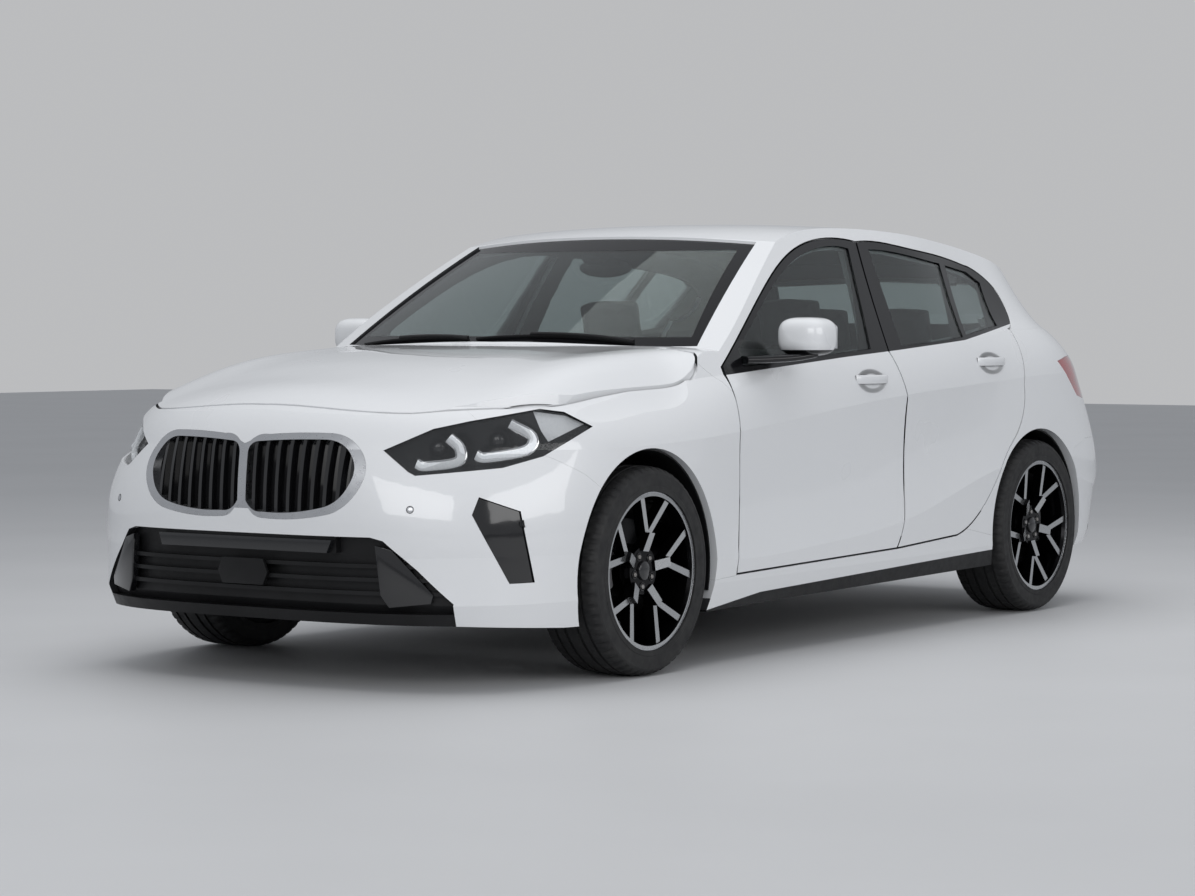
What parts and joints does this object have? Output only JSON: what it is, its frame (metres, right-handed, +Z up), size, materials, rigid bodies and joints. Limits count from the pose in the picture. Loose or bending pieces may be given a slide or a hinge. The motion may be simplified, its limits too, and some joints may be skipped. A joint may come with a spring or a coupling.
{
  "type": "five-door hatchback car",
  "caption": "Five-door compact hatchback car with twin slatted front grille, hung doors, bonnet and tailgate, steered front wheels and a furnished cabin",
  "frame": {"origin": "middle of the box on the ground below the car", "axes": "+X to the car left, +Y to the rear, +Z up"},
  "size_m": [2.06, 4.3617, 1.4519],
  "materials": {
    "white_paint": "gloss",
    "black_plastic": "matte",
    "dark_metal": "satin",
    "tinted_glass": "gloss",
    "clear_glass": "gloss",
    "dark_gloss": "gloss",
    "red_lamp": "gloss",
    "satin_silver": "satin",
    "gloss_black": "gloss",
    "cast_metal": "rough",
    "steel": "satin",
    "seat_fabric": "matte",
    "dash_plastic": "matte",
    "tyre": "matte",
    "wheel_alloy": "satin"
  },
  "bodies": {
    "chassis": {"arch_liners": "black_plastic", "axles": "dark_metal", "body_shell": "white_paint", "corner_vents": "black_plastic", "dashboard": "dash_plastic", "engine_block": "cast_metal", "exhaust": "steel", "floor_pan": "dark_metal", "front_bumper": "white_paint", "front_fenders": "white_paint", "grille_frames": "satin_silver", "headlamp_lenses": "clear_glass", "headlamps": "dark_gloss", "lower_grille": "black_plastic", "rear_bumper": "white_paint", "rear_diffuser": "black_plastic", "seats": "seat_fabric", "side_skirts": "white_paint", "sill_strips": "black_plastic", "tail_lamps": "red_lamp", "twin_grille": "gloss_black", "windscreen": "tinted_glass"},
    "bonnet": {"hood": "white_paint"},
    "hatch": {"tailgate": "white_paint", "tailgate_glass": "tinted_glass", "tailgate_lamps": "red_lamp"},
    "steering": {"steering_wheel": "dash_plastic"},
    "front_door_left": {"door_front_left": "white_paint", "glass_front_left": "tinted_glass", "mirror_left": "white_paint"},
    "rear_door_left": {"door_rear_left": "white_paint", "glass_rear_left": "tinted_glass", "hinges_rear_left": "dark_metal"},
    "front_wheel_left": {"tyre_front_left": "tyre", "rim_front_left": "wheel_alloy"},
    "rear_wheel_left": {"tyre_rear_left": "tyre", "rim_rear_left": "wheel_alloy"},
    "steer_arm_left": {"knuckle_left": "dark_metal"},
    "front_door_right": {"door_front_right": "white_paint", "glass_front_right": "tinted_glass", "mirror_right": "white_paint"},
    "rear_door_right": {"door_rear_right": "white_paint", "glass_rear_right": "tinted_glass", "hinges_rear_right": "dark_metal"},
    "front_wheel_right": {"tyre_front_right": "tyre", "rim_front_right": "wheel_alloy"},
    "rear_wheel_right": {"tyre_rear_right": "tyre", "rim_rear_right": "wheel_alloy"},
    "steer_arm_right": {"knuckle_right": "dark_metal"}
  },
  "joints": [
    {"name": "steer_left", "type": "hinge", "parent": "chassis", "child": "steer_arm_left", "pos_m": [0.712, -1.2835, 0.2], "axis": [-0.1995, 0, 0.9799], "range_deg": [-34, 34]},
    {"name": "roll_front_left", "type": "hinge", "parent": "steer_arm_left", "child": "front_wheel_left", "pos_m": [0.782, -1.2835, 0.326], "axis": [1, 0, 0], "continuous": true},
    {"name": "roll_rear_left", "type": "hinge", "parent": "chassis", "child": "rear_wheel_left", "pos_m": [0.782, 1.3865, 0.326], "axis": [1, 0, 0], "continuous": true},
    {"name": "door_front_left", "type": "hinge", "parent": "chassis", "child": "front_door_left", "pos_m": [0.855, -0.816, 0.6], "axis": [0, 0, -1], "range_deg": [0, 65]},
    {"name": "door_rear_left", "type": "hinge", "parent": "chassis", "child": "rear_door_left", "pos_m": [0.855, 0.279, 0.43], "axis": [0, -0.0669, -0.9978], "range_deg": [0, 65]},
    {"name": "steer_right", "type": "hinge", "parent": "chassis", "child": "steer_arm_right", "pos_m": [-0.712, -1.2835, 0.2], "axis": [0.1995, 0, 0.9799], "range_deg": [-34, 34]},
    {"name": "roll_front_right", "type": "hinge", "parent": "steer_arm_right", "child": "front_wheel_right", "pos_m": [-0.782, -1.2835, 0.326], "axis": [1, 0, 0], "continuous": true},
    {"name": "roll_rear_right", "type": "hinge", "parent": "chassis", "child": "rear_wheel_right", "pos_m": [-0.782, 1.3865, 0.326], "axis": [1, 0, 0], "continuous": true},
    {"name": "door_front_right", "type": "hinge", "parent": "chassis", "child": "front_door_right", "pos_m": [-0.855, -0.816, 0.6], "axis": [0, 0, 1], "range_deg": [0, 65]},
    {"name": "door_rear_right", "type": "hinge", "parent": "chassis", "child": "rear_door_right", "pos_m": [-0.855, 0.279, 0.43], "axis": [0, 0.0669, 0.9978], "range_deg": [0, 65]},
    {"name": "bonnet_hinge", "type": "hinge", "parent": "chassis", "child": "bonnet", "pos_m": [0, -0.85, 1.003], "axis": [-1, 0, 0], "range_deg": [0, 55]},
    {"name": "hatch_hinge", "type": "hinge", "parent": "chassis", "child": "hatch", "pos_m": [0, 1.455, 1.31], "axis": [1, 0, 0], "range_deg": [0, 80]},
    {"name": "steering_column", "type": "hinge", "parent": "chassis", "child": "steering", "pos_m": [0.37, -0.28, 0.86], "axis": [0, 0.9135, 0.4067], "range_deg": [-480, 480]}
  ],
  "couplings": [
    {"joint": "steer_right", "follows": "steer_left", "ratio": 1}
  ]
}
